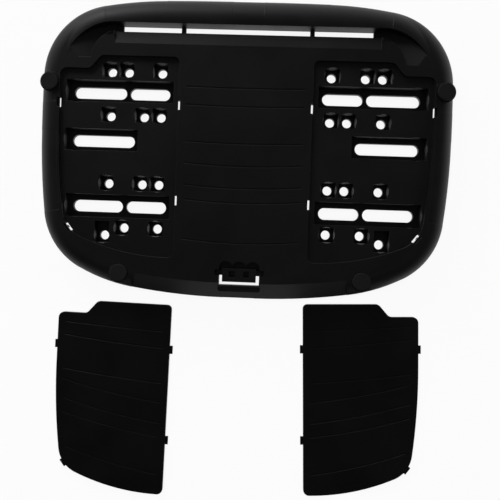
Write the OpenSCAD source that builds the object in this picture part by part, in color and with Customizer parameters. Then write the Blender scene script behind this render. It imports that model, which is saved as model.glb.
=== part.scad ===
// Top case mounting plate with its four rubber buffers, its lock striker and the two covers taken off.
// The origin lies at the centre of the bolt grid, on the underside of the bolt wells, where the rack is.

/* [Plate] */
// Overall width across the sides
plate_w = 313.2; // [308:0.1:330]
// Overall length from the hooded edge to the rear bow
plate_l = 226.1; // [222:0.1:240]
// Wall of the moulding
wall = 2.8; // [2.2:0.1:3.2]
// Height of the deck above the rack
deck_z = 17.5; // [16.5:0.1:20]
// How far the skirt hangs below the rack plane
skirt_drop = 7; // [3:0.5:12]
// Width of the rounded shoulder along the sides
shoulder_w = 12; // [10:0.5:13]
// How far the hood stands above the deck
hood_rise = 3; // [2:0.1:4]

/* [Bolt grid] */
// Distance between neighbouring hole columns
pitch = 13; // [12.9:0.05:13.2]
// Distance of the inner hole rows from the centre
row_in = 26; // [25.8:0.1:26.2]
// Distance of the outer hole rows from the centre
row_out = 60; // [59.8:0.1:60.2]
// Diameter of the bolt holes
bolt_hole_d = 7; // [5.5:0.1:8]
// Thickness of the floor that the bolts clamp
floor_t = 4; // [3:0.1:5]
// Inside width of a square bolt well
well_w = 10.9; // [10:0.1:11]
// Thickness of the well walls
well_wall = 2; // [1.6:0.1:2.2]
// Diameter of the socket relief at the mouth of a well
relief_d = 12.6; // [11.6:0.1:12.8]

/* [Slots] */
// Width of the strap and bolt slots
slot_w = 9; // [7:0.1:10]
// Width of the sunk recesses round the slots
recess_w = 16.6; // [15:0.1:17]
// Length of the outer front slots
front_out_l = 40.8; // [36:0.1:42]
// Length of the inner front slots
front_in_l = 31; // [26:0.1:32]
// Length of the middle slots
middle_l = 48.4; // [40:0.1:50]
// Length of the outer rear slots
rear_out_l = 38.7; // [34:0.1:40]
// Length of the inner rear slots
rear_in_l = 31; // [26:0.1:32]

/* [Hood trench] */
// Gap between the deck and the hood
trench_w = 6.2; // [5:0.1:7]
// Width of a bridge across the hook slots
bridge_w = 3.4; // [2.4:0.1:5]
// Half length of the middle hook slot
hook_mid = 47.3; // [40:0.1:52]
// Distance of the outer ends of the hook slots from the centre
hook_end = 95.2; // [85:0.1:97]

/* [Covers] */
// Thickness of a cover, and depth of its seat
cover_t = 3; // [2.6:0.1:3.4]
// Skin of a cover between its ribs
cover_skin = 1.8; // [1.4:0.1:2.2]
// Clearance between a cover and its seat
cover_gap = 0.4; // [0.2:0.05:0.6]
// How far a clip tab reaches past the cover
tab_reach = 1.8; // [1.2:0.1:2]
// Width of a clip tab
tab_w = 6.4; // [5:0.1:7]
// Depth of the styling grooves
groove_t = 0.4; // [0.2:0.05:0.6]
// Width of the styling grooves
groove_w = 1; // [0.6:0.1:1.6]

/* [Lock striker] */
// Width of the striker
striker_w = 25.6; // [22:0.1:28]
// Depth of the striker from front to rear
striker_l = 10.2; // [9:0.1:11]
// Gap round the striker
striker_gap = 2.4; // [1.8:0.1:2.8]
// Width of a square catch pocket in the striker
catch_w = 4.6; // [3.6:0.1:5.2]
// Distance between the two catch pockets
catch_pitch = 10.8; // [9:0.1:12]

/* [Buffers] */
// Diameter of a rubber buffer
buffer_d = 13.2; // [11:0.1:14]
// How far a buffer stands above the deck
buffer_rise = 3; // [2:0.1:4]
// Diameter of the buffer stem
stem_d = 6; // [5:0.1:7]
// Clearance round the buffer and its stem
buffer_gap = 0.2; // [0.1:0.05:0.4]

/* [Hidden] */
$fn = 96;
big_fn = 720;

// Outline of the plate from the front centre, clockwise: an arc is [radius, sweep], a straight is [0, length]
front_y = 115.3;
rear_y = front_y - plate_l;
front_arc = [2387, 1.2];
brow_arc = [300, 9.3];
corner_arc = [56, 77];
side_r = 519;
side_lead = 2.5;
side_trail = 7;
rear_corner_arc = [55, 55];
haunch_arc = [130, 19];
bow_sweep = 9;
brow_h = front_arc[1];
corner_h = brow_h + brow_arc[1];
side_h = corner_h + corner_arc[1];
rear_h = side_h + side_lead + side_trail;
haunch_h = rear_h + rear_corner_arc[1];
arcs_half_w = across(front_arc[0], 0, brow_h) + across(brow_arc[0], brow_h, corner_h)
    + across(corner_arc[0], corner_h, side_h) + across(side_r, side_h, 90);
bow_r = (arcs_half_w + across(side_r, 90, rear_h) + across(rear_corner_arc[0], rear_h, haunch_h)
    + across(haunch_arc[0], haunch_h, 180 - bow_sweep)) / sin(bow_sweep);
arcs_l = down(front_arc[0], 0, brow_h) + down(brow_arc[0], brow_h, corner_h)
    + down(corner_arc[0], corner_h, side_h) + down(side_r, side_h, rear_h)
    + down(rear_corner_arc[0], rear_h, haunch_h) + down(haunch_arc[0], haunch_h, 180 - bow_sweep)
    + down(bow_r, 180 - bow_sweep, 180);
front_flat = plate_w / 2 - arcs_half_w;
side_flat = plate_l - arcs_l;
half_steps = [[0, front_flat], front_arc, brow_arc, corner_arc, [side_r, side_lead], [0, side_flat],
              [side_r, side_trail], rear_corner_arc, haunch_arc, [bow_r, bow_sweep], [0, front_flat]];
outline_steps = concat(half_steps, [for (i = [len(half_steps) - 1 : -1 : 0]) half_steps[i]]);
half_walk = walk([0, front_y], 0, half_steps);
hood_steps = 3;
seam_step = 0.1;
seam_lap = 0.5;
slab_turn = 8;
corner_step = 3;
bow_steps = 9;
corner_c = half_walk[corner_step][0] + corner_arc[0] * right_of(half_walk[corner_step][1]);

// Heights
skirt_z = -skirt_drop;
seat_z = deck_z - cover_t;
tray_z = seat_z - wall;
shoulder_r = shoulder_w + 0.5;
hood_r = 16;
hood_crest = 15.5;
hood_reach = 18;
crown_reach = 24;
flange = 4;
deck_inset = 14;
bevel_z = 6;
above = 10;

// Hood, trench and hook slots
hood_w = 16.1;
hood_in_r = corner_arc[0] - hood_w;
hood_in_y = corner_c[1] + hood_in_r;
deck_front_y = hood_in_y - trench_w;
trench_z = deck_z - 8.7;
hood_tilt = 5.2;
hood_pivot = 14;
hood_lap = 1.5;
ramp_turn = 32;
ramp_rise = 13.6;
nose_r = 20;
nose_c = [corner_c[0] - 2.2, deck_front_y - nose_r];
lip_drop = 2;
lip_l = 9;

// Seats of the covers
cover_in = 50.6;
cover_top = 70;
cover_out = plate_w / 2 - 15.6;
cover_rear = rear_y + 29.3;
seat_r = 4;
edge_r = 5;
jog_x = 107.6;
jog_turn = 50;
jog_drop = 10;
jog_l = (jog_drop - 2 * edge_r * (1 - cos(jog_turn))) / sin(jog_turn);
step_l = cover_out - edge_r - jog_x - 2 * edge_r * sin(jog_turn) - jog_l * cos(jog_turn);
cover_side = [side_r - 16, 8];
cover_corner = [24, 59];
cover_bow_h = 90 + cover_side[1] + cover_corner[1];
cover_bow_r = (cover_out + across(cover_side[0], 90, 90 + cover_side[1])
    + across(cover_corner[0], 90 + cover_side[1], cover_bow_h) - cover_in - edge_r) / sin(cover_bow_h);
cover_flat = cover_top - jog_drop - edge_r - cover_rear - down(cover_side[0], 90, 90 + cover_side[1])
    - down(cover_corner[0], 90 + cover_side[1], cover_bow_h) - down(cover_bow_r, cover_bow_h, 180);
cover_steps = [[0, jog_x - cover_in - seat_r], [edge_r, jog_turn], [0, jog_l], [edge_r, -jog_turn],
               [0, step_l], [edge_r, 90], [0, cover_flat], cover_side, cover_corner, [cover_bow_r, 180 - cover_bow_h],
               [edge_r, 90], [0, cover_top - cover_rear - seat_r - edge_r], [seat_r, 90]];
cover_start = [cover_in + seat_r, cover_top];
cover_corner_step = 8;
tray_wall = 4;
tray_top = deck_z - 0.6;
tab_front_y = 34;
tab_rear_y = -38;
tab_t = 1.4;
slit_w = tab_reach + 0.3;
slit_l = tab_w + 2 * cover_gap;
// Where the covers lie: inner front corner and turn of each
left_cover_at = [-52.5, -119.5];
left_cover_turn = -1;
right_cover_at = [50.3, -114.7];
right_cover_turn = 2.3;
cover_rib = 1.4;
cell = [28, 36];

// Bolt wells: holes on the right side, columns counted in pitches from the centre
hole_grid = [[5, row_out], [7, row_out], [8, row_out], [5, row_in], [6, row_in], [8, row_in],
             [5, -row_in], [6, -row_in], [8, -row_in], [5, -row_out], [7, -row_out]];
odd_hole = [106, -66];
odd_well = [11.4, 16];
well_reach = well_w / 2 + well_wall;
relief_z = floor_t + 1;

// Slots of a recess: [centre x, length]; a recess: [centre y, height, slots]
slot_end = 3.8;
recesses = [[43.7, recess_w, [[112.5, front_out_l], [74, front_in_l]]],
            [6.6, recess_w, [[109, middle_l]]],
            [-43.7, recess_w + 0.8, [[111.8, rear_out_l], [74.3, rear_in_l]]]];

// Ribs under the deck
rib_t = 1.8;
rib_z = 2;
rib_columns = [0, 22, 44];

// Lock striker and its window
striker_y = rear_y + 17.9;
striker_t = 6.2;
striker_z = deck_z - 0.8 - striker_t;
striker_fit = 0.3;
window_x = striker_w / 2 + striker_gap;
window_rear = striker_y - striker_l / 2 - striker_gap;
window_front = striker_y + striker_l / 2 + striker_fit;
catch_dy = 0.6;
catch_t = 4.5;
ear_l = 3.8;
ear_t = 2;
ear_y = striker_y + 1.7;
ear_x = window_x + 3;
ear_seat_z = deck_z - 5.5;
scallop_r = 5.3;
scallop_pitch = 10.2;
scallop_t = 5;
frame_w = 2.2;
frame_z = 7;
ledge = [16.2, 6.5, 2];
ledge_z = deck_z - 3.3;

// Rubber buffers: right-hand places
buffer_r = buffer_d / 2;
buffer_seat_z = deck_z - 2.5;
buffer_h = buffer_rise + deck_z - buffer_seat_z;
boss_r = buffer_r + 1;
boss_z = 9;
boss_floor = 3;
barb_l = 2.4;
front_buffer = [plate_w / 2 - 7.9, 49.2];
rear_buffer = [91.5, rear_y + 16.8];

// Styling grooves: sagging arcs, each [lowest y, radius]
grooves = [[47.6, 1900], [33.8, 1100], [6, 1000], [-11, 520], [-27.6, 480], [-38.6, 480], [-69, 400]];
field_half = 44.4;
groove_margin = 5.5;

function right_of(h) = [sin(h), -cos(h)];
function ahead(h) = [cos(h), sin(h)];
// How far an arc of radius r goes across and down while its heading turns from h0 to h1
function across(r, h0, h1) = r * (sin(h1) - sin(h0));
function down(r, h0, h1) = r * (cos(h0) - cos(h1));
function step_end(p, h, s) = s[0] == 0 ? p + s[1] * ahead(h)
    : p + s[0] * sign(s[1]) * (right_of(h) - right_of(h - s[1]));
function step_heading(h, s) = s[0] == 0 ? h : h - s[1];
// Start point and heading of each step, and the end of the last
function walk(p, h, steps, i = 0) = i == len(steps) ? [[p, h]]
    : concat([[p, h]], walk(step_end(p, h, steps[i]), step_heading(h, steps[i]), steps, i + 1));
function grown(steps, d) = [for (s = steps) s[0] == 0 ? s : [s[0] + d * sign(s[1]), s[1]]];

// The part of a round step that lies outside its chord
module sector(tall, at, s, over = 0) {
    c = at[0] + s[0] * sign(s[1]) * right_of(at[1]);
    tip = at[0] + s[0] * tan(abs(s[1]) / 2) * ahead(at[1]);
    end = step_end(at[0], at[1], s);
    middle = (at[0] + end) / 2;
    translate([0, 0, -over]) intersection() {
        translate(c) cylinder(r = s[0], h = tall + 2 * over, $fn = big_fn);
        linear_extrude(tall + 2 * over)
            polygon([at[0], tip, end, middle + (c - middle) * min(0.5, 2 / norm(c - middle))]);
    }
}

// Solid over a closed outline of straights and tangent arcs
module prism(tall, start, steps) {
    places = walk(start, 0, steps);
    rounds = [for (i = [0 : len(steps) - 1]) if (steps[i][0] > 0) i];
    difference() {
        union() {
            linear_extrude(tall) polygon([for (i = [0 : len(steps) - 1]) places[i][0]]);
            for (i = rounds) if (steps[i][1] > 0) sector(tall, places[i], steps[i]);
        }
        for (i = rounds) if (steps[i][1] < 0) sector(tall, places[i], steps[i], 1);
    }
}

// Point at a share t of a step of the outline, moved inwards
function on_step(at, s, t, inset) = at[0] + inset * right_of(at[1] - (s[0] == 0 ? 0 : t * s[1]))
    + (s[0] == 0 ? t * s[1] * ahead(at[1]) : s[0] * (right_of(at[1]) - right_of(at[1] - t * s[1])));
function slab_points(inset) = let (places = walk([0, front_y], 0, outline_steps))
    [for (i = [0 : len(outline_steps) - 1])
        let (s = outline_steps[i], n = s[0] == 0 ? 1 : ceil(s[1] / slab_turn))
            for (k = [0 : n - 1]) on_step(places[i], s, (k + 0.5) / n, inset)];

// Slab inside the outline, whose edge is buried in the rim
module plate_slab(tall, inset) {
    linear_extrude(tall) polygon(slab_points(inset));
}

module seat_prism(tall, d) {
    prism(tall, cover_start + [0, d], grown(cover_steps, d));
}

module both() {
    children();
    mirror([1, 0, 0]) children();
}

// Sweeps a profile along a straight edge; its x is measured outwards from the edge
module run(start, heading, l) {
    translate(start) rotate([0, 0, heading]) rotate([90, 0, 90]) linear_extrude(l) children();
}

// Slims every second length of the rim by a hair and laps it into its neighbours, so that the wall is one
function hair(i) = i % 2 == 0 ? seam_step : 0;
function lap(i) = i % 2 == 0 ? seam_lap : 0;

// Sweeps a profile along one step of the outline
module band(i) {
    s = half_steps[i];
    at = half_walk[i];
    more = lap(i);
    turn = s[0] == 0 ? 0 : more / s[0] * 180 / PI;
    if (s[0] == 0) run(at[0] - more * ahead(at[1]), at[1], s[1] + 2 * more) children();
    else translate(at[0] + s[0] * right_of(at[1])) rotate([0, 0, 90 + at[1] - s[1] - turn])
        rotate_extrude(angle = s[1] + 2 * turn, $fn = big_fn) translate([s[0], 0]) children();
}

// What lies outside a round centred at height z, from the inner limit outwards
module over_round(r, inset, z, inner) {
    difference() {
        translate([-inner, z]) square([inner + 2, r + 2]);
        translate([-inset, z]) circle(r);
    }
}

// Shell profile of the rim in one piece: skirt, round and inner flange; thin slims it on all sides
module shell_profile(r, inset, top, inner, reach, thin) {
    z = top - r;
    difference() {
        translate([-reach, skirt_z + thin]) square([reach - thin, top - skirt_z - 2 * thin]);
        over_round(r - thin, inset, z, inner);
        difference() {
            translate([-reach - 1, skirt_z - 1])
                square([reach + 1 - wall + thin, top - wall + thin + 1 - skirt_z]);
            over_round(r - wall + thin, inset, z, inner);
        }
    }
}

module crown_profile(thin) {
    shell_profile(hood_r, hood_crest, deck_z + hood_rise, crown_reach + 1, crown_reach, thin);
}

module shoulder_profile(thin) {
    shell_profile(shoulder_r, shoulder_w, deck_z, shoulder_w, shoulder_w + flange, thin);
}

module bevel_profile(thin) {
    polygon([[-shoulder_w - thin, deck_z - thin], [-thin, bevel_z - thin], [-thin, skirt_z + thin],
             [-wall + thin, skirt_z + thin], [-wall + thin, bevel_z - 1.2 + thin],
             [-shoulder_w - 1 + thin, deck_z - wall + thin], [-shoulder_w - flange, deck_z - wall + thin],
             [-shoulder_w - flange, deck_z - thin]]);
}

// Crown of the hood without its skirt, with the hood's inner wall
module crown_end_profile() {
    z = deck_z + hood_rise - hood_r;
    intersection() {
        translate([-hood_crest, z]) difference() {
            circle(hood_r);
            circle(hood_r - wall);
        }
        translate([-hood_reach, z + 1]) square([hood_reach - 1, hood_r]);
    }
}

// The hood sinks into the shoulder round the front corners
module hood_end() {
    turn = corner_arc[1] + hood_lap;
    translate([corner_c[0], corner_c[1], hood_pivot]) rotate([0, 0, 90 - corner_h]) rotate([hood_tilt, 0, 0])
        rotate([0, 0, -corner_arc[1]]) translate([0, 0, -hood_pivot]) {
            rotate_extrude(angle = turn, $fn = big_fn) translate([corner_arc[0], 0]) crown_end_profile();
            rotate_extrude(angle = turn, $fn = big_fn)
                translate([hood_in_r - 1, deck_z - 12.5]) square([wall + 1, 13.5]);
        }
}

module rim() {
    run([-front_flat - seam_lap, front_y], 0, 2 * (front_flat + seam_lap)) crown_profile(seam_step);
    run([front_flat + seam_lap, rear_y], 180, 2 * (front_flat + seam_lap)) bevel_profile(seam_step);
    both() {
        for (i = [1 : hood_steps - 1]) band(i) crown_profile(hair(i));
        for (i = [corner_step : bow_steps - 1]) band(i) shoulder_profile(hair(i));
        band(bow_steps) bevel_profile(hair(bow_steps));
        hood_end();
    }
}

// Slab over the ramp on which the trench runs out; heights are measured square to the ramp
module ramp(low, high) {
    translate([corner_c[0], deck_front_y + trench_w / 2, trench_z]) rotate([0, 0, -ramp_turn])
        rotate([0, -ramp_rise, 0]) translate([-12, -44, low]) cube([62, 74, high - low]);
}

module trench_walls() {
    translate([-1, deck_front_y - wall, trench_z - wall])
        cube([corner_c[0] + 2, trench_w + 2 * wall, deck_z + 1 - trench_z + wall]);
    intersection() {
        ramp(-wall, 0.5);
        translate([corner_c[0], corner_c[1], 0]) cylinder(r = hood_in_r + wall, h = deck_z - 1, $fn = big_fn);
        translate([corner_c[0], nose_c[1] - 4, 0]) cube([50, 60, deck_z]);
    }
}

module trench_cut() {
    translate([-1, deck_front_y, trench_z]) cube([corner_c[0] + 1, trench_w, deck_z]);
    difference() {
        intersection() {
            ramp(0, 40);
            translate([corner_c[0], corner_c[1], 0]) cylinder(r = hood_in_r, h = 60, $fn = big_fn);
            translate([corner_c[0], nose_c[1], trench_z]) cube([50, 60, 60]);
        }
        translate([nose_c[0], nose_c[1], -1]) cylinder(r = nose_r, h = 80, $fn = 360);
    }
}

module hook_slots() {
    translate([-1, deck_front_y, skirt_z]) cube([hook_mid + 1, trench_w, deck_z - skirt_z]);
    translate([hook_mid + bridge_w, deck_front_y, skirt_z])
        cube([hook_end - hook_mid - bridge_w, trench_w, deck_z - skirt_z]);
}

// The deck falls a little towards the trench
module deck_lip() {
    translate([-1, deck_front_y, deck_z]) rotate([90, 0, 90])
        linear_extrude(corner_c[0] + 1) polygon([[1, 1], [1, -lip_drop], [0, -lip_drop], [-lip_l, 0], [-lip_l, 1]]);
}

module well_block(at, size) {
    translate([at[0] - size[0] / 2 - well_wall, at[1] - size[1] / 2 - well_wall, 0])
        cube([size[0] + 2 * well_wall, size[1] + 2 * well_wall, tray_z + wall / 2]);
}

module well_cut(at, size, hole) {
    translate([at[0] - size[0] / 2, at[1] - size[1] / 2, floor_t]) cube([size[0], size[1], deck_z]);
    translate([hole[0], hole[1], relief_z])
        cylinder(r1 = well_w / 2 - 0.2, r2 = relief_d / 2, h = seat_z + 1 - relief_z);
    translate([hole[0], hole[1], -1]) cylinder(d = bolt_hole_d, h = floor_t + 2);
}

function recess_span(slots) = [min([for (s = slots) s[0] - s[1] / 2]) - slot_end,
                               max([for (s = slots) s[0] + s[1] / 2]) + slot_end];

module recess_box(recess, grow, low, tall) {
    span = recess_span(recess[2]);
    translate([span[0] - grow, recess[0] - recess[1] / 2 - grow, low])
        cube([span[1] - span[0] + 2 * grow, recess[1] + 2 * grow, tall]);
}

module slot(at_x, at_y, l) {
    translate([at_x, at_y, -1]) {
        for (side = [-1, 1]) translate([side * (l - slot_w) / 2, 0, 0]) cylinder(d = slot_w, h = floor_t + 2);
        translate([-(l - slot_w) / 2, -slot_w / 2, 0]) cube([l - slot_w, slot_w, floor_t + 2]);
    }
}

module recess_cut(recess) {
    recess_box(recess, 0, floor_t, deck_z);
    for (s = recess[2]) slot(s[0], recess[0], s[1]);
    outer = recess[2][0];
    relief_x = outer[0] + outer[1] / 2 - slot_w / 2;
    relief_r = slot_w / 2 + slot_end;
    translate([relief_x, recess[0], relief_z])
        cylinder(r1 = relief_r - 0.2, r2 = relief_r + 0.8, h = seat_z + 1 - relief_z);
}

module slits() {
    translate([cover_out - 0.5, tab_front_y - slit_l / 2, skirt_z]) cube([slit_w + 0.5, slit_l, deck_z * 3]);
    for (y = [tab_front_y, tab_rear_y])
        translate([cover_in - slit_w, y - slit_l / 2, skirt_z]) cube([slit_w + 0.5, slit_l, deck_z * 3]);
    corner_tab(slit_w, slit_l, deck_z * 3, skirt_z);
}

// A block across the rounded rear corner of a cover or its seat, reaching past the seat's edge
module corner_tab(reach, l, tall, z) {
    at = walk(cover_start, 0, cover_steps)[cover_corner_step];
    mid = at[1] - cover_corner[1] / 2;
    translate(at[0] + cover_corner[0] * right_of(at[1])) rotate([0, 0, mid + 90])
        translate([cover_corner[0] - 1, -l / 2, z]) cube([reach + 1, l, tall]);
}

module ribs() {
    intersection() {
        union() {
            for (y = [row_out, row_in, -row_in, -row_out])
                translate([-plate_w / 2, y - rib_t / 2, rib_z]) cube([plate_w, rib_t, tray_z - rib_z]);
            for (x = rib_columns, side = [-1, 1])
                translate([side * x - rib_t / 2, rear_y + shoulder_w + 2, rib_z])
                    cube([rib_t, deck_front_y - rear_y - shoulder_w - 3, deck_z - wall / 2 - rib_z]);
        }
        plate_slab(deck_z, wall / 2);
    }
}

module window_frame() {
    translate([-ear_x - frame_w, striker_y - striker_l / 2, frame_z])
        cube([2 * (ear_x + frame_w), striker_l + scallop_r + frame_w, deck_z - wall / 2 - frame_z]);
    translate([-window_x - frame_w, window_rear - frame_w, frame_z])
        cube([2 * (window_x + frame_w), striker_l, deck_z - 5 - frame_z]);
    // Ledge below the window, with round rear corners
    for (side = [-1, 1])
        translate([side * (ledge[0] - ledge[2]), window_rear - ledge[1] + ledge[2] + 1.4, frame_z])
            cylinder(r = ledge[2], h = ledge_z - frame_z);
    translate([-ledge[0] + ledge[2], window_rear - ledge[1] + 1.4, frame_z])
        cube([2 * (ledge[0] - ledge[2]), ledge[1], ledge_z - frame_z]);
    translate([-ledge[0], window_rear - ledge[1] + ledge[2] + 1.4, frame_z])
        cube([2 * ledge[0], ledge[1] - ledge[2], ledge_z - frame_z]);
}

module window_cut() {
    translate([-window_x, window_rear, skirt_z])
        cube([2 * window_x, window_front - window_rear, 4 * deck_z]);
    for (i = [-1 : 1]) translate([i * scallop_pitch, window_front - 0.3, deck_z - scallop_t])
        cylinder(r = scallop_r, h = deck_z);
    translate([-ear_x - striker_fit, ear_y - ear_l / 2 - striker_fit, ear_seat_z])
        cube([2 * (ear_x + striker_fit), ear_l + 2 * striker_fit, deck_z]);
}

module boss(at) {
    translate([at[0], at[1], boss_z]) cylinder(r = boss_r, h = deck_z - boss_z);
}

module boss_cut(at) {
    translate([at[0], at[1], buffer_seat_z]) cylinder(r = buffer_r + buffer_gap, h = deck_z);
    translate([at[0], at[1], -1]) cylinder(d = stem_d + 2 * buffer_gap, h = deck_z);
    translate([at[0], at[1], boss_z - 1]) cylinder(r = buffer_r - 1, h = buffer_seat_z - boss_floor - boss_z + 1);
}

module groove_rings(top) {
    for (g = grooves) translate([0, g[0] + g[1], top - groove_t]) difference() {
        cylinder(r = g[1] + groove_w / 2, h = 1, $fn = big_fn * 2);
        translate([0, 0, -1]) cylinder(r = g[1] - groove_w / 2, h = 3, $fn = big_fn * 2);
    }
}

module mounting_plate() {
    color("#232323") difference() {
        union() {
            rim();
            both() {
                trench_walls();
                translate([0, 0, tray_z]) seat_prism(tray_top - tray_z, tray_wall);
                for (h = hole_grid) well_block([h[0] * pitch, h[1]], [well_w, well_w]);
                well_block(odd_hole + [0, odd_well[1] / 2 - well_w / 2], odd_well);
                for (r = recesses) recess_box(r, well_wall, 0, tray_z + wall / 2);
                boss(front_buffer);
                boss(rear_buffer);
            }
            translate([0, 0, deck_z - wall]) plate_slab(wall, deck_inset);
            ribs();
            window_frame();
        }
        both() {
            translate([0, 0, seat_z]) seat_prism(above, 0);
            trench_cut();
            hook_slots();
            deck_lip();
            for (h = hole_grid) well_cut([h[0] * pitch, h[1]], [well_w, well_w], [h[0] * pitch, h[1]]);
            well_cut(odd_hole + [0, odd_well[1] / 2 - well_w / 2], odd_well, odd_hole);
            for (r = recesses) recess_cut(r);
            slits();
            boss_cut(front_buffer);
            boss_cut(rear_buffer);
        }
        window_cut();
        intersection() {
            groove_rings(deck_z);
            translate([-field_half, rear_y, 0]) cube([2 * field_half, plate_l, 2 * deck_z]);
        }
    }
}

module lock_striker() {
    color("#2a2a2a") difference() {
        union() {
            translate([-striker_w / 2, striker_y - striker_l / 2, striker_z])
                cube([striker_w, striker_l, striker_t]);
            translate([-ear_x, ear_y - ear_l / 2, ear_seat_z]) cube([2 * ear_x, ear_l, ear_t]);
        }
        for (side = [-1, 1])
            translate([side * catch_pitch / 2 - catch_w / 2, striker_y + catch_dy - catch_w / 2,
                       striker_z + striker_t - catch_t]) cube([catch_w, catch_w, striker_t]);
    }
}

module buffer(at) {
    round_r = 0.8;
    color("#3a3a3a") translate([at[0], at[1], buffer_seat_z]) {
        rotate_extrude() {
            square([buffer_r, buffer_h - round_r]);
            square([buffer_r - round_r, buffer_h]);
            translate([buffer_r - round_r, buffer_h - round_r]) circle(round_r);
        }
        translate([0, 0, -boss_floor - barb_l]) cylinder(d = stem_d, h = boss_floor + barb_l + 0.5);
        translate([0, 0, -boss_floor - barb_l])
            cylinder(d1 = stem_d - 1, d2 = stem_d + 1.6, h = barb_l - buffer_gap);
    }
}

// A right-hand cover as it sits, its underside at z = 0
module cover() {
    edge = -cover_gap;
    difference() {
        union() {
            seat_prism(cover_t, edge);
            translate([cover_out - 1, tab_front_y - tab_w / 2, 0]) cube([tab_reach + 1, tab_w, tab_t]);
            for (y = [tab_front_y, tab_rear_y])
                translate([cover_in - tab_reach, y - tab_w / 2, 0]) cube([tab_reach + 1, tab_w, tab_t]);
            corner_tab(tab_reach, tab_w, tab_t, 0);
        }
        intersection() {
            translate([0, 0, -1]) seat_prism(cover_t - cover_skin + 1, edge - cover_rib);
            union() for (i = [0 : 3], j = [0 : 4])
                translate([cover_in + i * cell[0], cover_top - (j + 1) * cell[1], -1])
                    cube([cell[0] - cover_rib, cell[1] - cover_rib, cover_t]);
        }
        intersection() {
            groove_rings(cover_t);
            seat_prism(2 * cover_t, edge - groove_margin);
        }
    }
}

module laid_cover(at, turn) {
    translate([at[0], at[1], skirt_z]) rotate([0, 0, turn])
        translate([-cover_in - cover_gap, -cover_top + cover_gap, 0]) cover();
}

module left_cover() {
    color("#1c1c1c") mirror([1, 0, 0]) laid_cover([-left_cover_at[0], left_cover_at[1]], -left_cover_turn);
}

module right_cover() {
    color("#1c1c1c") laid_cover(right_cover_at, right_cover_turn);
}

module flipped(at) {
    buffer([-at[0], at[1]]);
}

mounting_plate();
lock_striker();
flipped(front_buffer);  // buffer_front_left
buffer(front_buffer);  // buffer_front_right
flipped(rear_buffer);  // buffer_rear_left
buffer(rear_buffer);  // buffer_rear_right
left_cover();
right_cover();
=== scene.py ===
"""Studio picture of a top case mounting plate, its lock striker, its rubber buffers and its two loose covers.

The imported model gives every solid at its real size. This script dresses each solid in a procedural finish,
adds the small moulded details that the solids leave plain, sets them on a pale floor under soft light, and
looks straight down on them as the photograph does.
"""

import logging
import math
from dataclasses import dataclass, field
from enum import Enum

import bpy
from mathutils import Matrix, Vector


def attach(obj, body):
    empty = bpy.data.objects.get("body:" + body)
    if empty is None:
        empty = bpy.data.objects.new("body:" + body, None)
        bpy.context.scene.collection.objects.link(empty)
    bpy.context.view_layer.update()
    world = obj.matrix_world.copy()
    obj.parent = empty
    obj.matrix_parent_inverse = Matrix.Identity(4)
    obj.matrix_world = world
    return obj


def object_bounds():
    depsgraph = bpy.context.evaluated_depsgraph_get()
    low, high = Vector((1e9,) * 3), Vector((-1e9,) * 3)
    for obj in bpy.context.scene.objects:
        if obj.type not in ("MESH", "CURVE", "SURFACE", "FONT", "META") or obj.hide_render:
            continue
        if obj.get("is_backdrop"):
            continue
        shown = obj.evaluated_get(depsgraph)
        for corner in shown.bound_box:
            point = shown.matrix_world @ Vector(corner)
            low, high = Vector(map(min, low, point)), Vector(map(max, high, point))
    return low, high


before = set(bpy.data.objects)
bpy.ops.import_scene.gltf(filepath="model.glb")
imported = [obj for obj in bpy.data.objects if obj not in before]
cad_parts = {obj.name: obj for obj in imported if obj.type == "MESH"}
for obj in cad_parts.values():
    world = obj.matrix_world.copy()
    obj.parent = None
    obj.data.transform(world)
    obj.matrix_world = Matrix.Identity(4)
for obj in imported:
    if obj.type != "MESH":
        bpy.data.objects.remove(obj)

LOG = logging.getLogger("mounting_plate")
MM = 0.001
WHITE = (1, 1, 1, 1)

# Spacing of the nodes in the node editor
NODE_COLUMN = 180
NODE_ROW = 60
NODE_ROWS = 3

# Blender's Mix node keeps its share first, then the sockets of each kind of value at their own places
MIX_NUMBERS = (0, 2, 3)
MIX_COLOURS = (0, 6, 7)
MIX_COLOUR_RESULT = 2

# How the edges of small blocks are rounded and smoothed
ROUND_SEGMENTS = 3
SMOOTH_ANGLE = math.radians(35)


class Axis(Enum):
    """Axes of the part's frame, under the names that Blender's rotations take."""

    X = 0
    Y = 1
    Z = 2


class Polish(Enum):
    """How smooth a mould leaves a surface, as a share of full roughness."""

    SATIN = 0.42
    FINE_GRAIN = 0.48
    RUBBED = 0.75


@dataclass(frozen=True)
class Size:
    """Box of the whole object, in metres.

    Args:
        low: Lowest corner.
        high: Highest corner.
    """

    low: Vector
    high: Vector

    @staticmethod
    def of_object() -> "Size":
        """Returns the box of everything that counts as the object now."""
        low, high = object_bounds()
        return Size(Vector(low), Vector(high))

    def as_lists(self) -> list[list[float]]:
        """Returns the two corners as plain lists."""
        return [[float(value) for value in corner] for corner in (self.low, self.high)]


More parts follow.
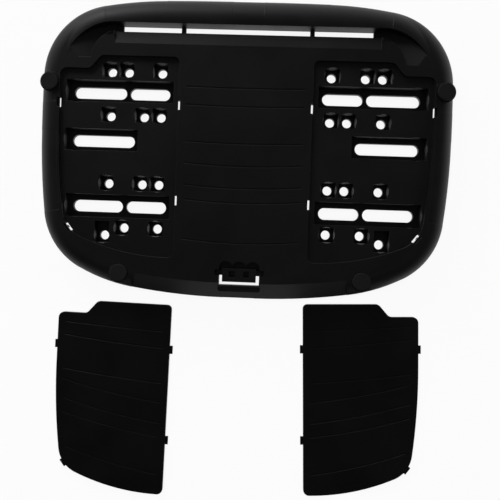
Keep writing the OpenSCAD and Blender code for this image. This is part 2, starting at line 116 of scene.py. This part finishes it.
class NodeDesk:
    """Places and joins shader nodes in one node tree."""

    def __init__(self, tree: bpy.types.NodeTree) -> None:
        """Keeps the tree and starts with an empty row.

        Args:
            tree: Node tree to work in.
        """
        self.tree = tree
        self.column = 0

    def add(self, kind: str, **settings: object) -> bpy.types.Node:
        """Adds a node and sets its properties and unlinked inputs.

        Args:
            kind: Blender's type name of the node.
            settings: Property names, or input names with underscores for spaces.

        Returns:
            The new node.
        """
        node = self.tree.nodes.new(kind)
        node.location = (NODE_COLUMN * self.column, -NODE_ROW * (self.column % NODE_ROWS))
        self.column += 1
        for name, value in settings.items():
            socket = node.inputs.get(name.replace("_", " "))
            if socket is not None:
                socket.default_value = value
            else:
                setattr(node, name, value)
        return node

    def join(self, source: bpy.types.NodeSocket, target: bpy.types.NodeSocket) -> None:
        """Links an output to an input.

        Args:
            source: Output socket.
            target: Input socket.
        """
        self.tree.links.new(source, target)

    def feed(self, target: bpy.types.NodeSocket, value: object) -> None:
        """Links a socket to an input, or sets the input to a plain value.

        Args:
            target: Input socket.
            value: A socket, a number or a colour.
        """
        if isinstance(value, bpy.types.NodeSocket):
            self.join(value, target)
        else:
            target.default_value = value

    def math(self, operation: str, *values: object) -> bpy.types.NodeSocket:
        """Adds a Math node.

        Args:
            operation: Blender's name of the operation.
            values: Its sockets or numbers, in order.

        Returns:
            The node's output.
        """
        node = self.add("ShaderNodeMath", operation=operation)
        for target, value in zip(node.inputs, values):
            self.feed(target, value)
        return node.outputs[0]

    def blend(self, share: object, first: object, second: object) -> bpy.types.NodeSocket:
        """Adds a colour Mix node.

        Args:
            share: A socket or a number, how much of the second colour shows.
            first: A socket or a colour.
            second: A socket or a colour.

        Returns:
            The mixed colour's output.
        """
        node = self.add("ShaderNodeMix", data_type="RGBA")
        for place, value in zip(MIX_COLOURS, (share, first, second)):
            self.feed(node.inputs[place], value)
        return node.outputs[MIX_COLOUR_RESULT]


class SharedEffects:
    """Node groups that several finishes place with their own values."""

    def __init__(self) -> None:
        """Builds every group once."""
        self.grain = self.mould_grain()
        self.flow = self.flow_marks()
        self.edge = self.soft_edge()

    @staticmethod
    def new_group(name: str, inputs: dict[str, tuple[str, float | None]], outputs: dict[str, str]) -> tuple:
        """Makes a group with its sockets and its two end nodes.

        Args:
            name: Name of the group.
            inputs: Socket name to its kind and its default, if it has one.
            outputs: Socket name to its kind.

        Returns:
            The group, its desk, its input node and its output node.
        """
        group = bpy.data.node_groups.new(name, "ShaderNodeTree")
        for label, (kind, default) in inputs.items():
            socket = group.interface.new_socket(label, in_out="INPUT", socket_type=kind)
            if default is not None:
                socket.default_value = default
        for label, kind in outputs.items():
            group.interface.new_socket(label, in_out="OUTPUT", socket_type=kind)
        desk = NodeDesk(group)
        return group, desk, desk.add("NodeGroupInput"), desk.add("NodeGroupOutput")

    def mould_grain(self) -> bpy.types.NodeTree:
        """Builds the fine eroded grain of a steel mould, as a height in metres.

        Returns:
            The group, with a Height output.
        """
        group, desk, given, result = self.new_group(
            "mould_grain",
            {"Place": ("NodeSocketVector", None), "Grain Size": ("NodeSocketFloat", 0.6 * MM),
             "Depth": ("NodeSocketFloat", 0.02 * MM)},
            {"Height": "NodeSocketFloat"},
        )
        scale = desk.math("DIVIDE", 1.0, given.outputs["Grain Size"])
        noise = desk.add("ShaderNodeTexNoise", Detail=2.0, Roughness=0.55)
        cells = desk.add("ShaderNodeTexVoronoi", feature="SMOOTH_F1", Smoothness=0.6)
        for node in (noise, cells):
            desk.join(given.outputs["Place"], node.inputs["Vector"])
            desk.join(scale, node.inputs["Scale"])
        pits = desk.math("MULTIPLY", noise.outputs[0], cells.outputs["Distance"])
        desk.join(desk.math("MULTIPLY", pits, given.outputs["Depth"]), result.inputs["Height"])
        return group

    def flow_marks(self) -> bpy.types.NodeTree:
        """Builds the broad soft patches that the melt leaves as it fills a mould.

        Returns:
            The group, with a Patch output from 0 to 1.
        """
        group, desk, given, result = self.new_group(
            "flow_marks",
            {"Place": ("NodeSocketVector", None), "Patch Size": ("NodeSocketFloat", 35 * MM)},
            {"Patch": "NodeSocketFloat"},
        )
        scale = desk.math("DIVIDE", 1.0, given.outputs["Patch Size"])
        noise = desk.add("ShaderNodeTexNoise", Detail=3.0, Roughness=0.5, Distortion=0.6)
        desk.join(given.outputs["Place"], noise.inputs["Vector"])
        desk.join(scale, noise.inputs["Scale"])
        spread = desk.add("ShaderNodeMapRange", From_Min=0.3, From_Max=0.7)
        desk.join(noise.outputs[0], spread.inputs["Value"])
        desk.join(spread.outputs[0], result.inputs["Patch"])
        return group

    def soft_edge(self) -> bpy.types.NodeTree:
        """Builds the small round of a moulded edge, as a turned normal, and a mask of where the edge is.

        Returns:
            The group, with Normal and Edge outputs.
        """
        group, desk, given, result = self.new_group(
            "soft_edge",
            {"Reach": ("NodeSocketFloat", 0.5 * MM), "Sharpness": ("NodeSocketFloat", 6.0)},
            {"Normal": "NodeSocketVector", "Edge": "NodeSocketFloat"},
        )
        bevel = desk.add("ShaderNodeBevel", samples=6)
        desk.join(given.outputs["Reach"], bevel.inputs["Radius"])
        face = desk.add("ShaderNodeNewGeometry")
        turn = desk.add("ShaderNodeVectorMath", operation="DOT_PRODUCT")
        desk.join(bevel.outputs[0], turn.inputs[0])
        desk.join(face.outputs["Normal"], turn.inputs[1])
        away = desk.math("SUBTRACT", 1.0, turn.outputs["Value"])
        sharp = desk.math("MULTIPLY", away, given.outputs["Sharpness"])
        mask = desk.math("MINIMUM", sharp, 1.0)
        desk.join(bevel.outputs[0], result.inputs["Normal"])
        desk.join(desk.math("MAXIMUM", mask, 0.0), result.inputs["Edge"])
        return group


@dataclass(frozen=True)
class MouldedFinish:
    """Black moulded surface: plastic with mould grain, or rubber.

    Args:
        name: Name of the material.
        shade: Base colour, linear.
        edge_highlight: Lighter colour painted on the edges as a highlight, linear.
        polish: How smooth the surface is.
        grain_size: Width of a pit of the grain, in metres.
        grain_depth: Depth of the grain, in metres.
        edge_reach: Round of the edges, in metres.
        patch_size: Width of a flow mark, in metres.
        patch_strength: How far a flow mark lightens or darkens the colour, from 0 to 1.
        patch_rough: How much rougher the surface is at one end of a flow mark than at the other.
        highlight_share: How much of the painted highlight colour an edge shows, from 0 to 1.
        edge_smooth: How much less rough an edge is.
        specular: Level of the mirror part, 0.5 for plain plastic.
    """

    name: str
    shade: tuple[float, float, float]
    edge_highlight: tuple[float, float, float]
    polish: Polish
    grain_size: float = 0.6 * MM
    grain_depth: float = 0.02 * MM
    edge_reach: float = 0.45 * MM
    patch_size: float = 35 * MM
    patch_strength: float = 0.15
    patch_rough: float = 0.06
    highlight_share: float = 0.5
    edge_smooth: float = 0.08
    specular: float = 0.5

    def material(self, effects: SharedEffects) -> bpy.types.Material:
        """Builds the material.

        Args:
            effects: The shared node groups.

        Returns:
            The finished material.
        """
        material = bpy.data.materials.new(self.name)
        material.use_nodes = True
        desk = NodeDesk(material.node_tree)
        surface = material.node_tree.nodes["Principled BSDF"]
        place = desk.add("ShaderNodeTexCoord").outputs["Object"]

        grain = desk.add("ShaderNodeGroup", node_tree=effects.grain, Grain_Size=self.grain_size,
                         Depth=self.grain_depth)
        flow = desk.add("ShaderNodeGroup", node_tree=effects.flow, Patch_Size=self.patch_size)
        edge = desk.add("ShaderNodeGroup", node_tree=effects.edge, Reach=self.edge_reach)
        desk.join(place, grain.inputs["Place"])
        desk.join(place, flow.inputs["Place"])

        light_patch = tuple(value * (1 + self.patch_strength) for value in self.shade) + (1,)
        dark_patch = tuple(value * (1 - self.patch_strength) for value in self.shade) + (1,)
        body = desk.blend(flow.outputs["Patch"], dark_patch, light_patch)
        # Painted highlight: where the bevel mask finds an edge, the colour turns lighter to stand in for light
        # caught on its round
        painted_highlight = desk.math("MULTIPLY", edge.outputs["Edge"], self.highlight_share)
        colour = desk.blend(painted_highlight, body, self.edge_highlight + (1,))
        desk.join(colour, surface.inputs["Base Color"])

        patchy = desk.math("MULTIPLY_ADD", flow.outputs["Patch"], self.patch_rough,
                           self.polish.value - self.patch_rough / 2)
        smoother = desk.math("MULTIPLY", edge.outputs["Edge"], self.edge_smooth)
        rough = desk.math("SUBTRACT", patchy, smoother)
        desk.join(rough, surface.inputs["Roughness"])

        bump = desk.add("ShaderNodeBump", Strength=1.0, Distance=1.0)
        desk.join(grain.outputs["Height"], bump.inputs["Height"])
        desk.join(edge.outputs["Normal"], bump.inputs["Normal"])
        desk.join(bump.outputs[0], surface.inputs["Normal"])
        surface.inputs["Specular IOR Level"].default_value = self.specular
        return material


PLATE_FINISH = MouldedFinish(
    name="plate_plastic", shade=(0.0035, 0.0035, 0.0037), edge_highlight=(0.009, 0.009, 0.009),
    polish=Polish.FINE_GRAIN, specular=0.3)
COVER_FINISH = MouldedFinish(
    name="cover_plastic", shade=(0.0029, 0.0029, 0.003), edge_highlight=(0.005, 0.005, 0.005), polish=Polish.SATIN,
    grain_size=0.5 * MM, specular=0.3)
STRIKER_FINISH = MouldedFinish(
    name="striker_plastic", shade=(0.0032, 0.0032, 0.0033), edge_highlight=(0.012, 0.012, 0.012), polish=Polish.SATIN,
    grain_depth=0.005 * MM, edge_reach=0.35 * MM, specular=0.4)
RUBBER_FINISH = MouldedFinish(
    name="buffer_rubber", shade=(0.0062, 0.0062, 0.0064), edge_highlight=(0.01, 0.01, 0.01), polish=Polish.RUBBED,
    grain_size=0.35 * MM, grain_depth=0.03 * MM, edge_reach=0.6 * MM, specular=0.25)


@dataclass
class SubAssembly:
    """CAD nodes that share a finish.

    Args:
        title: Name for the report.
        nodes: Names of the CAD nodes.
        finish: How their surfaces look.
    """

    title: str
    nodes: tuple[str, ...]
    finish: MouldedFinish

    def dress(self, effects: SharedEffects) -> None:
        """Gives each node its finish.

        Args:
            effects: The shared node groups.
        """
        material = self.finish.material(effects)
        for name in self.nodes:
            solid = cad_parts[name]
            solid.data.materials.clear()
            solid.data.materials.append(material)
            LOG.info("%s: %s in %s", self.title, name, material.name)


def deselect_all() -> None:
    """Leaves nothing selected, so that an operator reaches only what is picked after."""
    for thing in bpy.context.selected_objects:
        thing.select_set(False)


def moulded_block(name: str, low: Vector, high: Vector, turn: float, centre: Vector,
                  rounding: float) -> bpy.types.Object:
    """Models a small block with rounded edges, part of the plate's moulding.

    Args:
        name: Name of the piece.
        low: Lowest corner before the turn, in metres.
        high: Highest corner before the turn, in metres.
        turn: Turn about the vertical through the centre, in radians.
        centre: Point that the corners are measured from and turned about, in metres.
        rounding: Radius of the edges, in metres.

    Returns:
        The block's object, at the origin, with its place in its mesh.
    """
    deselect_all()
    bpy.ops.mesh.primitive_cube_add(size=1)
    block = bpy.context.object
    block.name = name
    size = high - low
    spin = Matrix.Translation(centre) @ Matrix.Rotation(turn, 4, Axis.Z.name)
    block.data.transform(spin @ Matrix.Translation((low + high) / 2) @ Matrix.Diagonal(size).to_4x4())
    soft = block.modifiers.new("rounding", "BEVEL")
    soft.width = rounding
    soft.segments = ROUND_SEGMENTS
    bpy.ops.object.modifier_apply(modifier=soft.name)
    bpy.ops.object.shade_smooth_by_angle(angle=SMOOTH_ANGLE)
    return block


@dataclass
class PlateDetails:
    """Small moulded details of the plate that its solid leaves out.

    Every size but the corner's turn is in metres.

    Args:
        lip_low: Underside of the lips in the clip slits.
        lip_high: Top of those lips, below the seat of a clip tab.
        lip_depth: How far a lip narrows its slit.
        lip_half: Half the length of a lip.
        lip_root: How far a lip is sunk into the slit's outer wall.
        lip_rounding: Radius of a lip's edges.
        tab_rows: Where the clip tabs of a cover stand along its inner edge.
        seat_in: Inner edge of a cover's seat.
        seat_out: Outer edge of a cover's seat.
        slit: How far a slit runs past the seat's edge.
        corner: Centre of the seat's rounded rear corner.
        corner_radius: Radius of that corner.
        corner_turn: Direction from the centre to the corner's clip, in degrees.
        shelf_half: Half the width of the shelf under the striker's front edge.
        shelf_reach: Rear and front of that shelf.
        shelf_band: Underside and top of that shelf.
        shelf_rounding: Radius of its edges.
    """

    lip_low: float = 11.9 * MM
    lip_high: float = 14.2 * MM
    lip_depth: float = 1.1 * MM
    lip_half: float = 3.9 * MM
    lip_root: float = 0.3 * MM
    lip_rounding: float = 0.25 * MM
    tab_rows: tuple[float, ...] = (34 * MM, -38 * MM)
    seat_in: float = 50.6 * MM
    seat_out: float = 141 * MM
    slit: float = 2.1 * MM
    corner: tuple[float, float] = (112.3 * MM, -45.96 * MM)
    corner_radius: float = 24 * MM
    corner_turn: float = -37.5
    shelf_half: float = 15.6 * MM
    shelf_reach: tuple[float, float] = (-91.6 * MM, -87.2 * MM)
    shelf_band: tuple[float, float] = (8.0 * MM, 10.2 * MM)
    shelf_rounding: float = 0.3 * MM

    def lip(self, name: str, edge: Vector, outward: float) -> bpy.types.Object:
        """Models the lip of one slit.

        Args:
            name: Name of the piece.
            edge: Middle of the slit at the seat's edge.
            outward: Direction away from the seat, in radians.

        Returns:
            The lip's object.
        """
        near = self.slit - self.lip_depth
        low = Vector((near, -self.lip_half, self.lip_low))
        high = Vector((self.slit + self.lip_root, self.lip_half, self.lip_high))
        return moulded_block(name, low, high, outward, edge, self.lip_rounding)

    def slits(self, side: int) -> list[tuple[str, Vector, float]]:
        """Finds the clip slits of one seat.

        Args:
            side: 1 for the right seat, -1 for the left one.

        Returns:
            Each slit's name, its middle at the seat's edge and its direction away from the seat.
        """
        outward = 0.0 if side > 0 else math.pi
        found = [("outer", Vector((side * self.seat_out, self.tab_rows[0], 0)), outward)]
        found += [(f"inner_{row}", Vector((side * self.seat_in, y, 0)), math.pi - outward)
                  for row, y in zip(("front", "rear"), self.tab_rows)]
        slope = math.radians(self.corner_turn)
        reach = self.corner_radius * Vector((math.cos(slope), math.sin(slope), 0))
        place = Vector((*self.corner, 0)) + reach
        place.x *= side
        found.append(("corner", place, slope if side > 0 else math.pi - slope))
        return found

    def shelf(self) -> bpy.types.Object:
        """Models the shelf under the striker's front edge.

        Returns:
            The shelf's object.
        """
        low = Vector((-self.shelf_half, self.shelf_reach[0], self.shelf_band[0]))
        high = Vector((self.shelf_half, self.shelf_reach[1], self.shelf_band[1]))
        return moulded_block("window_shelf", low, high, 0.0, Vector(), self.shelf_rounding)

    def build(self) -> None:
        """Models every detail, dresses it and lets it ride with the plate."""
        pieces = [self.lip(f"clip_lip_{slit}_{word}", edge, outward)
                  for word, side in (("right", 1), ("left", -1))
                  for slit, edge, outward in self.slits(side)]
        pieces.append(self.shelf())
        material = bpy.data.materials[PLATE_FINISH.name]
        for piece in pieces:
            piece.data.materials.append(material)
            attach(piece, "root")
            LOG.info("detail: %s", piece.name)


@dataclass(frozen=True)
class Floor:
    """Pale surface that the plate and its covers lie on.

    Args:
        width: Side of the square, in metres.
        kept_shade: Share of the floor that still takes shadows.
        slack: How far below the object it lies, so that no two faces share a plane, in metres.
        paint: Its colour where neither the camera nor a mirror nor glass looks at it.
    """

    width: float = 12.0
    kept_shade: float = 0.1
    slack: float = 0.05 * MM
    paint: tuple[float, float, float, float] = (0.95, 0.95, 0.95, 1)

    def build(self, level: float) -> None:
        """Adds the floor and marks it as stage.

        Args:
            level: Lowest point of the object, in metres.
        """
        bpy.ops.mesh.primitive_plane_add(size=self.width, location=(0, 0, level - self.slack))
        floor = bpy.context.object
        floor.name = "floor"
        bpy.ops.object.transform_apply(location=True)
        floor.data.materials.append(self.material())
        floor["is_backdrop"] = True

    def material(self) -> bpy.types.Material:
        """Builds a finish that is nearly white to the camera, mirrors and glass, and paint to all other light.

        Returns:
            The floor's material.
        """
        material = bpy.data.materials.new("floor_white")
        material.use_nodes = True
        tree = material.node_tree
        desk = NodeDesk(tree)
        tree.nodes.remove(tree.nodes["Principled BSDF"])
        paint = desk.add("ShaderNodeBsdfDiffuse", Color=self.paint)
        glow = desk.add("ShaderNodeEmission", Color=WHITE, Strength=1.0)
        path = desk.add("ShaderNodeLightPath")
        seen = desk.math("MAXIMUM", path.outputs["Is Camera Ray"], path.outputs["Is Glossy Ray"])
        seen = desk.math("MAXIMUM", seen, path.outputs["Is Transmission Ray"])
        share = desk.math("MULTIPLY", seen, 1 - self.kept_shade)
        mix = desk.add("ShaderNodeMixShader")
        desk.join(share, mix.inputs[0])
        desk.join(paint.outputs[0], mix.inputs[1])
        desk.join(glow.outputs[0], mix.inputs[2])
        desk.join(mix.outputs[0], tree.nodes["Material Output"].inputs["Surface"])
        return material


@dataclass(frozen=True)
class SoftBox:
    """Large square lamp that points at the object.

    Args:
        name: Name of the lamp.
        place: Where it hangs, in metres.
        width: Side of the lamp, in metres.
        power: Its power in watts.
        mirrored: Whether glossy surfaces show it.
    """

    name: str
    place: tuple[float, float, float]
    width: float
    power: float
    mirrored: bool = True

    def hang(self, aim: Vector) -> None:
        """Adds the lamp.

        Args:
            aim: Point that it shines at.
        """
        lamp = bpy.data.lights.new(self.name, "AREA")
        lamp.shape = "SQUARE"
        lamp.size = self.width
        lamp.energy = self.power
        holder = bpy.data.objects.new(self.name, lamp)
        bpy.context.scene.collection.objects.link(holder)
        holder.location = self.place
        holder.rotation_euler = (aim - Vector(self.place)).to_track_quat("-Z", "Y").to_euler()
        holder.visible_glossy = self.mirrored
        holder.visible_camera = False


@dataclass
class Studio:
    """Floor, white tent and lamps.

    Args:
        horizon: Brightness of the tent's walls on the side of the hood.
        rear_share: Brightness of the walls on the other side, as a share of that.
        side_band: Sines of the direction towards the hood between which the walls turn from dim to bright.
        zenith: Brightness of the tent straight above, where the camera hangs.
        wall_top: Sine of the height above the horizon at which the walls begin to darken.
        dark_from: Sine of the height from which the tent is as dark as straight above.
        lamps: The lamps.
    """

    horizon: float = 0.9
    rear_share: float = 0.12
    side_band: tuple[float, float] = (-0.45, 0.25)
    zenith: float = 0.02
    wall_top: float = 0.25
    dark_from: float = 0.7
    lamps: list[SoftBox] = field(default_factory=lambda: [
        SoftBox("overhead_fill", (0.0, -0.1, 2.2), 1.8, 30.0, mirrored=False),
        SoftBox("hood_light", (-0.9, 1.6, 0.9), 1.0, 15.0),
    ])

    def build(self, level: float, aim: Vector) -> None:
        """Sets the floor, the tent and the lamps up.

        Args:
            level: Lowest point of the object, in metres.
            aim: Middle of the object.
        """
        Floor().build(level)
        for lamp in self.lamps:
            lamp.hang(aim)
        self.tent()
        LOG.info("studio: floor at %.4f m, %d lamps", level, len(self.lamps))

    def tent(self) -> None:
        """Builds the world: bright walls, a darker top, and white where the camera looks past the floor."""
        world = bpy.data.worlds.new("tent")
        world.use_nodes = True
        bpy.context.scene.world = world
        desk = NodeDesk(world.node_tree)
        direction = desk.add("ShaderNodeTexCoord").outputs["Generated"]
        split = desk.add("ShaderNodeSeparateXYZ")
        desk.join(direction, split.inputs[0])
        height = desk.add("ShaderNodeMapRange", interpolation_type="SMOOTHSTEP", From_Min=self.wall_top,
                          From_Max=self.dark_from, To_Min=self.horizon, To_Max=self.zenith)
        desk.join(split.outputs["Z"], height.inputs["Value"])
        side = desk.add("ShaderNodeMapRange", interpolation_type="SMOOTHSTEP", From_Min=self.side_band[0],
                        From_Max=self.side_band[1], To_Min=self.rear_share, To_Max=1.0)
        desk.join(split.outputs["Y"], side.inputs["Value"])
        wall = desk.math("MULTIPLY", height.outputs[0], side.outputs[0])
        path = desk.add("ShaderNodeLightPath")
        seen = desk.math("MAXIMUM", path.outputs["Is Camera Ray"], path.outputs["Is Transmission Ray"])
        strength = desk.add("ShaderNodeMix", data_type="FLOAT")
        for place, value in zip(MIX_NUMBERS, (seen, wall, 1.0)):
            desk.feed(strength.inputs[place], value)
        background = world.node_tree.nodes["Background"]
        background.inputs["Color"].default_value = WHITE
        desk.join(strength.outputs[0], background.inputs["Strength"])


@dataclass(frozen=True)
class PhotoCamera:
    """Camera at the place from which the photograph was taken.

    Args:
        place: Its lens, in metres.
        tip: Turn about its own sideways axis, in radians.
        lean: Turn about its own upward axis, in radians.
        roll: Turn about its line of sight, in radians.
        lens: Focal length, in millimetres.
        sensor: Width of the sensor, in millimetres.
        shift: Sideways shift of the picture, as a share of its width, because the photograph is cropped.
        sight: Nearest and farthest distance that it sees, in metres.
    """

    place: tuple[float, float, float] = (13.23 * MM, -64.76 * MM, 545.0 * MM)
    tip: float = 0.0173
    lean: float = -0.0391
    roll: float = -0.0364
    lens: float = 50.4
    sensor: float = 36.0
    shift: float = 0.04
    sight: tuple[float, float] = (0.01, 50)

    def build(self) -> None:
        """Adds the camera and makes it the scene's."""
        data = bpy.data.cameras.new("photo_camera")
        data.lens = self.lens
        data.sensor_width = self.sensor
        data.shift_x = self.shift
        data.clip_start, data.clip_end = self.sight
        camera = bpy.data.objects.new("photo_camera", data)
        bpy.context.scene.collection.objects.link(camera)
        to_camera = (Matrix.Rotation(self.roll, 3, Axis.Z.name) @ Matrix.Rotation(self.tip, 3, Axis.X.name)
                     @ Matrix.Rotation(self.lean, 3, Axis.Y.name))
        camera.matrix_world = Matrix.Translation(self.place) @ to_camera.transposed().to_4x4()
        bpy.context.scene.camera = camera


def main() -> None:
    """Places the camera, dresses the object, adds its details, lights the studio and reports each piece."""
    logging.basicConfig(level=logging.INFO, format="%(name)s: %(message)s")
    cad_size = Size.of_object()
    PhotoCamera().build()
    effects = SharedEffects()
    assemblies = (
        SubAssembly("plate", ("mounting_plate",), PLATE_FINISH),
        SubAssembly("covers", ("left_cover", "right_cover"), COVER_FINISH),
        SubAssembly("lock", ("lock_striker",), STRIKER_FINISH),
        SubAssembly("buffers", tuple(f"buffer_{end}_{side}" for end in ("front", "rear")
                                     for side in ("left", "right")), RUBBER_FINISH),
    )
    for assembly in assemblies:
        assembly.dress(effects)
    PlateDetails().build()
    Studio().build(cad_size.low.z, (cad_size.low + cad_size.high) / 2)
    bpy.context.scene.view_settings.view_transform = "Standard"
    {"cad": cad_size.as_lists(), "visual": Size.of_object().as_lists()}


if __name__ == "__main__":
    main()
